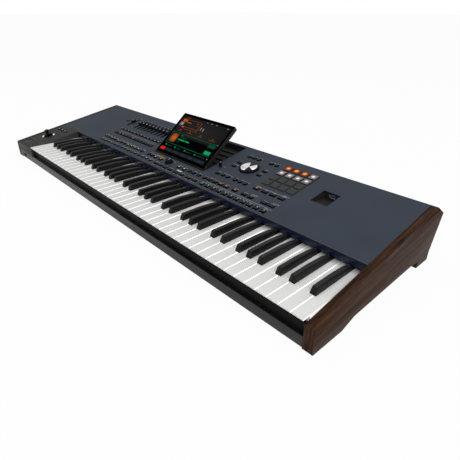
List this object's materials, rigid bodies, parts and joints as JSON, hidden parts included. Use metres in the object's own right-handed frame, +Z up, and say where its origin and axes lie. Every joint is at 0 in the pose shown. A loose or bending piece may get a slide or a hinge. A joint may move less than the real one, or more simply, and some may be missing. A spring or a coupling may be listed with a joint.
{
  "type": "arranger keyboard",
  "caption": "Arranger keyboard with piano-style keys, tilting display in a ribbed well, pads, faders, data dial, joystick and walnut cheeks on a sloped slate panel.",
  "frame": {"origin": "on the floor under the middle of the instrument", "axes": "+X to the player's right along the keys, +Y to the back, +Z up"},
  "size_m": [1.214, 0.405, 0.1755],
  "materials": {
    "slate_panel": "satin",
    "navy_trim": "gloss",
    "walnut": "satin",
    "white_key": "gloss",
    "black_key": "satin",
    "grey_rail": "satin",
    "black_plastic": "matte",
    "housing_grey": "matte",
    "steel": "brushed",
    "rubber": "matte",
    "felt": "matte",
    "board": "satin",
    "display_grey": "satin",
    "display_front": "gloss",
    "chrome_cap": "polished",
    "button": "satin",
    "pad": "matte",
    "ribbon": "satin"
  },
  "bodies": {
    "case": {"bottom_chassis": "steel", "front_rail": "grey_rail", "key_slip": "black_plastic", "left_cheek": "walnut", "right_cheek": "walnut", "top_panel": "slate_panel", "front_trim": "navy_trim", "left_control_housing": "housing_grey", "rear_panel": "slate_panel", "display_well": "housing_grey", "usb_recess": "black_plastic", "usb_port": "steel", "keybed_frame": "steel", "key_pivot_rod": "steel", "key_stop_felt": "felt", "contact_board": "board", "main_board": "board", "panel_board": "board", "power_supply": "steel", "fader_tracks": "steel", "rear_sockets": "black_plastic", "power_inlet": "black_plastic", "headphone_jack": "black_plastic", "rubber_feet": "rubber", "case_screws": "steel", "joystick_plate": "black_plastic", "ribbon_strip": "ribbon"},
    "keys_c": {"keys_c": "white_key"},
    "keys_c_sharp": {"keys_c_sharp": "black_key"},
    "keys_d": {"keys_d": "white_key"},
    "keys_d_sharp": {"keys_d_sharp": "black_key"},
    "keys_e": {"keys_e": "white_key"},
    "keys_f": {"keys_f": "white_key"},
    "keys_f_sharp": {"keys_f_sharp": "black_key"},
    "keys_g": {"keys_g": "white_key"},
    "keys_g_sharp": {"keys_g_sharp": "black_key"},
    "keys_a": {"keys_a": "white_key"},
    "keys_a_sharp": {"keys_a_sharp": "black_key"},
    "keys_b": {"keys_b": "white_key"},
    "display": {"display_shell": "display_grey", "display_glass": "display_front", "display_hinge_pins": "steel"},
    "dial": {"data_dial": "button", "dial_cap": "chrome_cap"},
    "joystick_gimbal": {"joystick_gimbal": "black_plastic"},
    "joystick_lever": {"joystick_lever": "button"},
    "volume_knob": {"volume_knob": "button"},
    "balance_knob": {"balance_knob": "button"},
    "power_switch": {"power_switch": "button"},
    "style_buttons": {"style_buttons": "button"},
    "rhythm_buttons": {"rhythm_buttons": "button"},
    "transport_buttons": {"transport_buttons": "button"},
    "sound_buttons": {"sound_buttons": "button"},
    "mixer_buttons": {"mixer_buttons": "button"},
    "player_buttons": {"player_buttons": "button"},
    "menu_buttons": {"menu_buttons": "button"},
    "assign_buttons": {"assign_buttons": "button"},
    "pads": {"pads": "pad"},
    "fader_caps": {"fader_caps": "button"},
    "master_fader_cap": {"master_fader_cap": "button"}
  },
  "joints": [
    {"name": "keys_c_press", "type": "hinge", "parent": "case", "child": "keys_c", "pos_m": [0, 0.0115, 0.048], "axis": [1, 0, 0], "range_deg": [0, 2.7], "stiffness_Nm_per_rad": 2.5, "springref_deg": -28.65},
    {"name": "keys_c_sharp_press", "type": "hinge", "parent": "case", "child": "keys_c_sharp", "pos_m": [0, 0.0115, 0.048], "axis": [1, 0, 0], "range_deg": [0, 2.7], "stiffness_Nm_per_rad": 2.5, "springref_deg": -28.65},
    {"name": "keys_d_press", "type": "hinge", "parent": "case", "child": "keys_d", "pos_m": [0, 0.0115, 0.048], "axis": [1, 0, 0], "range_deg": [0, 2.7], "stiffness_Nm_per_rad": 2.5, "springref_deg": -28.65},
    {"name": "keys_d_sharp_press", "type": "hinge", "parent": "case", "child": "keys_d_sharp", "pos_m": [0, 0.0115, 0.048], "axis": [1, 0, 0], "range_deg": [0, 2.7], "stiffness_Nm_per_rad": 2.5, "springref_deg": -28.65},
    {"name": "keys_e_press", "type": "hinge", "parent": "case", "child": "keys_e", "pos_m": [0, 0.0115, 0.048], "axis": [1, 0, 0], "range_deg": [0, 2.7], "stiffness_Nm_per_rad": 2.5, "springref_deg": -28.65},
    {"name": "keys_f_press", "type": "hinge", "parent": "case", "child": "keys_f", "pos_m": [0, 0.0115, 0.048], "axis": [1, 0, 0], "range_deg": [0, 2.7], "stiffness_Nm_per_rad": 2.5, "springref_deg": -28.65},
    {"name": "keys_f_sharp_press", "type": "hinge", "parent": "case", "child": "keys_f_sharp", "pos_m": [0, 0.0115, 0.048], "axis": [1, 0, 0], "range_deg": [0, 2.7], "stiffness_Nm_per_rad": 2.5, "springref_deg": -28.65},
    {"name": "keys_g_press", "type": "hinge", "parent": "case", "child": "keys_g", "pos_m": [0, 0.0115, 0.048], "axis": [1, 0, 0], "range_deg": [0, 2.7], "stiffness_Nm_per_rad": 2.5, "springref_deg": -28.65},
    {"name": "keys_g_sharp_press", "type": "hinge", "parent": "case", "child": "keys_g_sharp", "pos_m": [0, 0.0115, 0.048], "axis": [1, 0, 0], "range_deg": [0, 2.7], "stiffness_Nm_per_rad": 2.5, "springref_deg": -28.65},
    {"name": "keys_a_press", "type": "hinge", "parent": "case", "child": "keys_a", "pos_m": [0, 0.0115, 0.048], "axis": [1, 0, 0], "range_deg": [0, 2.7], "stiffness_Nm_per_rad": 2.5, "springref_deg": -28.65},
    {"name": "keys_a_sharp_press", "type": "hinge", "parent": "case", "child": "keys_a_sharp", "pos_m": [0, 0.0115, 0.048], "axis": [1, 0, 0], "range_deg": [0, 2.7], "stiffness_Nm_per_rad": 2.5, "springref_deg": -28.65},
    {"name": "keys_b_press", "type": "hinge", "parent": "case", "child": "keys_b", "pos_m": [0, 0.0115, 0.048], "axis": [1, 0, 0], "range_deg": [0, 2.7], "stiffness_Nm_per_rad": 2.5, "springref_deg": -28.65},
    {"name": "display_tilt", "type": "hinge", "parent": "case", "child": "display", "pos_m": [-0.00251, 0.0225, 0.08617], "axis": [1, 0, 0], "range_deg": [-28.6, 25]},
    {"name": "dial_spin", "type": "hinge", "parent": "case", "child": "dial", "pos_m": [0.19299, 0.08576, 0.10014], "axis": [0, -0.1657, 0.9862], "continuous": true},
    {"name": "joystick_sideways", "type": "hinge", "parent": "case", "child": "joystick_gimbal", "pos_m": [-0.54501, -0.11471, 0.0482], "axis": [0, 0.9862, 0.1657], "range_deg": [-18, 18], "stiffness_Nm_per_rad": 0.15},
    {"name": "joystick_lengthways", "type": "hinge", "parent": "joystick_gimbal", "child": "joystick_lever", "pos_m": [-0.54501, -0.11471, 0.0482], "axis": [1, 0, 0], "range_deg": [-18, 18], "stiffness_Nm_per_rad": 0.15},
    {"name": "volume_turn", "type": "hinge", "parent": "case", "child": "volume_knob", "pos_m": [-0.01071, -0.00576, 0.08476], "axis": [0, -0.1657, 0.9862], "range_deg": [-150, 150]},
    {"name": "balance_turn", "type": "hinge", "parent": "case", "child": "balance_knob", "pos_m": [0.12499, 0.0544, 0.09487], "axis": [0, -0.1657, 0.9862], "range_deg": [-150, 150]},
    {"name": "power_rock", "type": "hinge", "parent": "case", "child": "power_switch", "pos_m": [0.51199, 0.17933, 0.05958], "axis": [1, 0, 0], "range_deg": [-16, 0]},
    {"name": "style_buttons_press", "type": "slide", "parent": "case", "child": "style_buttons", "axis": [0, 0.1657, -0.9862], "range_m": [0, 0.0012], "stiffness_N_per_m": 2000, "springref_m": -0.001},
    {"name": "rhythm_buttons_press", "type": "slide", "parent": "case", "child": "rhythm_buttons", "axis": [0, 0.1657, -0.9862], "range_m": [0, 0.0012], "stiffness_N_per_m": 2000, "springref_m": -0.001},
    {"name": "transport_buttons_press", "type": "slide", "parent": "case", "child": "transport_buttons", "axis": [0, 0.1657, -0.9862], "range_m": [0, 0.0012], "stiffness_N_per_m": 2000, "springref_m": -0.001},
    {"name": "sound_buttons_press", "type": "slide", "parent": "case", "child": "sound_buttons", "axis": [0, 0.1657, -0.9862], "range_m": [0, 0.0012], "stiffness_N_per_m": 2000, "springref_m": -0.001},
    {"name": "mixer_buttons_press", "type": "slide", "parent": "case", "child": "mixer_buttons", "axis": [0, 0.1657, -0.9862], "range_m": [0, 0.0012], "stiffness_N_per_m": 2000, "springref_m": -0.001},
    {"name": "player_buttons_press", "type": "slide", "parent": "case", "child": "player_buttons", "axis": [0, 0.1657, -0.9862], "range_m": [0, 0.0012], "stiffness_N_per_m": 2000, "springref_m": -0.001},
    {"name": "menu_buttons_press", "type": "slide", "parent": "case", "child": "menu_buttons", "axis": [0, 0.1657, -0.9862], "range_m": [0, 0.0012], "stiffness_N_per_m": 2000, "springref_m": -0.001},
    {"name": "assign_buttons_press", "type": "slide", "parent": "case", "child": "assign_buttons", "axis": [0, 0.1657, -0.9862], "range_m": [0, 0.0012], "stiffness_N_per_m": 2000, "springref_m": -0.001},
    {"name": "pads_press", "type": "slide", "parent": "case", "child": "pads", "axis": [0, 0.1657, -0.9862], "range_m": [0, 0.0012], "stiffness_N_per_m": 3000, "springref_m": -0.001},
    {"name": "fader_caps_slide", "type": "slide", "parent": "case", "child": "fader_caps", "axis": [0, 0.9862, 0.1657], "range_m": [-0.022, 0.022]},
    {"name": "master_fader_cap_slide", "type": "slide", "parent": "case", "child": "master_fader_cap", "axis": [0, 0.9862, 0.1657], "range_m": [-0.022, 0.022]}
  ]
}
